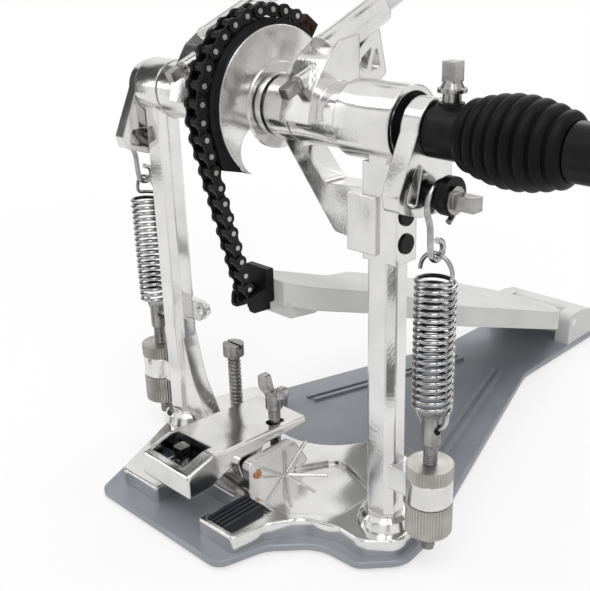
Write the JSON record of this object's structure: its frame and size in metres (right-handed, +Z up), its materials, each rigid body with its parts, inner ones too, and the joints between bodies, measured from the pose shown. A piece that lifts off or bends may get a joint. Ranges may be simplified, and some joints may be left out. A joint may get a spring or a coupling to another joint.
{
  "type": "double bass drum pedal",
  "caption": "Chain-drive bass drum pedal with paired beaters, return springs, hinged footboard, hoop clamp and a universal joint for a drive shaft.",
  "frame": {"origin": "on the floor, below the axle, at the left-to-right centre of the frame", "axes": "+X along the axle towards the coupling, +Y from the drum towards the heel, +Z up"},
  "size_m": [0.3038, 0.389, 0.3218],
  "materials": {
    "plate": "satin",
    "floor_rubber": "matte",
    "casting": "polished",
    "steel": "polished",
    "nuts": "knurled",
    "board": "satin",
    "black_metal": "gloss",
    "brown_metal": "satin",
    "black_rubber": "matte",
    "copper": "satin",
    "felt": "matte"
  },
  "bodies": {
    "frame": {"base_plate": "plate", "floor_pad": "floor_rubber", "toe_casting": "casting", "left_post": "casting", "right_post": "casting", "bearing_bracket": "casting", "bracket_bolts": "black_metal", "bearings": "steel", "bearing_seal": "black_rubber", "tension_rods": "steel", "lock_nuts": "nuts", "jaw_pad": "floor_rubber", "jaw_pin": "copper", "heel_plate": "board", "hinge_pin": "steel"},
    "primary_axle": {"primary_shaft": "steel", "left_rocker": "casting", "left_rocker_bolt": "steel", "left_disc": "black_metal", "primary_hub": "casting", "primary_hub_screw": "steel", "cam_disc": "casting", "cam_rim": "black_metal", "chain_wrap": "black_metal", "chain_anchor": "brown_metal"},
    "primary_beater": {"primary_beater_rod": "steel", "primary_beater_head": "felt"},
    "secondary_axle": {"secondary_shaft": "steel", "right_rocker": "casting", "right_rocker_bolt": "steel", "right_disc": "black_metal", "secondary_hub": "casting", "secondary_hub_screw": "steel", "coupling_collar": "black_metal", "collar_screw": "steel", "coupling_boot": "black_rubber"},
    "secondary_beater": {"secondary_beater_rod": "steel", "secondary_beater_head": "felt"},
    "coupling_cross": {"coupling_cross": "steel"},
    "drive_socket": {"drive_socket": "black_metal", "socket_screw": "steel"},
    "footboard": {"footboard": "board", "toe_clamp": "black_metal"},
    "chain_upper": {"chain_link_4": "black_metal", "chain_link_3": "black_metal"},
    "chain_middle": {"chain_link_2": "black_metal", "chain_link_1": "black_metal"},
    "chain_run": {"chain_run": "black_metal"},
    "left_spring": {"left_spring": "steel"},
    "left_hook": {"left_hook": "steel"},
    "right_spring": {"right_spring": "steel"},
    "right_hook": {"right_hook": "steel"},
    "clamp_jaw": {"clamp_jaw": "casting", "jaw_screw": "steel"},
    "wing_screw": {"wing_screw": "steel"},
    "floor_spur": {"floor_spur": "steel"},
    "left_tension_nut": {"left_tension_nut": "nuts"},
    "right_tension_nut": {"right_tension_nut": "nuts"}
  },
  "joints": [
    {"name": "primary_stroke", "type": "hinge", "parent": "frame", "child": "primary_axle", "pos_m": [0, 0, 0.2095], "axis": [1, 0, 0], "range_deg": [0, 50], "stiffness_Nm_per_rad": 1.2, "springref_deg": -34.38},
    {"name": "secondary_stroke", "type": "hinge", "parent": "frame", "child": "secondary_axle", "pos_m": [0, 0, 0.2095], "axis": [1, 0, 0], "range_deg": [0, 50], "stiffness_Nm_per_rad": 1.2, "springref_deg": -34.38},
    {"name": "primary_beater_reach", "type": "slide", "parent": "primary_axle", "child": "primary_beater", "axis": [0, 0.9205, 0.3907], "range_m": [0, 0.02]},
    {"name": "secondary_beater_reach", "type": "slide", "parent": "secondary_axle", "child": "secondary_beater", "axis": [0, 0.9205, 0.3907], "range_m": [0, 0.02]},
    {"name": "footboard_hinge", "type": "hinge", "parent": "frame", "child": "footboard", "pos_m": [-0.003, 0.262, 0.021], "axis": [1, 0, 0], "range_deg": [0, 8.2]},
    {"name": "chain_upper_bend", "type": "hinge", "parent": "primary_axle", "child": "chain_upper", "pos_m": [-0.0045, -0.03742, 0.22965], "axis": [1, 0, 0], "range_deg": [-30.4, 0]},
    {"name": "chain_middle_bend", "type": "hinge", "parent": "chain_upper", "child": "chain_middle", "pos_m": [-0.0045, -0.04221, 0.21446], "axis": [1, 0, 0], "range_deg": [-30.4, 0]},
    {"name": "chain_run_bend", "type": "hinge", "parent": "chain_middle", "child": "chain_run", "pos_m": [-0.0045, -0.04107, 0.19857], "axis": [1, 0, 0], "range_deg": [0, 2.2]},
    {"name": "left_spring_swing", "type": "hinge", "parent": "frame", "child": "left_spring", "pos_m": [-0.102, -0.0046, 0.076], "axis": [1, 0, 0], "range_deg": [-11, 0]},
    {"name": "left_hook_pull", "type": "slide", "parent": "left_spring", "child": "left_hook", "axis": [0, 0, 1], "range_m": [0, 0.011], "deforming": ["left_spring"]},
    {"name": "right_spring_swing", "type": "hinge", "parent": "frame", "child": "right_spring", "pos_m": [0.102, -0.0046, 0.076], "axis": [1, 0, 0], "range_deg": [-11, 0]},
    {"name": "right_hook_pull", "type": "slide", "parent": "right_spring", "child": "right_hook", "axis": [0, 0, 1], "range_m": [0, 0.011], "deforming": ["right_spring"]},
    {"name": "coupling_turn", "type": "hinge", "parent": "secondary_axle", "child": "coupling_cross", "pos_m": [0.136, 0, 0.2095], "axis": [0, 0, 1], "range_deg": [-20, 20], "stiffness_Nm_per_rad": 0.8},
    {"name": "coupling_tilt", "type": "hinge", "parent": "coupling_cross", "child": "drive_socket", "pos_m": [0.136, 0, 0.2095], "axis": [0, 1, 0], "range_deg": [-20, 20], "stiffness_Nm_per_rad": 0.8, "deforming": ["coupling_boot"]},
    {"name": "wing_turn", "type": "hinge", "parent": "frame", "child": "wing_screw", "pos_m": [-0.006, -0.002, 0.05], "axis": [0, 0, 1], "range_deg": [0, 1296]},
    {"name": "jaw_tip", "type": "hinge", "parent": "frame", "child": "clamp_jaw", "pos_m": [-0.018, -0.028, 0.0215], "axis": [1, 0, 0], "range_deg": [-8.1, 0]},
    {"name": "spur_screw", "type": "slide", "parent": "frame", "child": "floor_spur", "axis": [0, 0, 1], "range_m": [0, 0.012]},
    {"name": "left_nut_turn", "type": "hinge", "parent": "frame", "child": "left_tension_nut", "pos_m": [-0.102, -0.0046, 0.029], "axis": [0, 0, 1], "continuous": true},
    {"name": "right_nut_turn", "type": "hinge", "parent": "frame", "child": "right_tension_nut", "pos_m": [0.102, -0.0046, 0.029], "axis": [0, 0, 1], "continuous": true}
  ],
  "couplings": [
    {"joint": "footboard_hinge", "follows": "primary_stroke", "ratio": 0.1587},
    {"joint": "chain_upper_bend", "follows": "primary_stroke", "ratio": -0.5996},
    {"joint": "chain_middle_bend", "follows": "primary_stroke", "ratio": -0.5996},
    {"joint": "chain_run_bend", "follows": "primary_stroke", "ratio": 0.0387},
    {"joint": "left_spring_swing", "follows": "primary_stroke", "ratio": -0.212},
    {"joint": "left_hook_pull", "follows": "primary_stroke", "m_per_rad": 0.0124},
    {"joint": "right_spring_swing", "follows": "secondary_stroke", "ratio": -0.212},
    {"joint": "right_hook_pull", "follows": "secondary_stroke", "m_per_rad": 0.0124},
    {"joint": "jaw_tip", "follows": "wing_turn", "ratio": -0.006173}
  ]
}
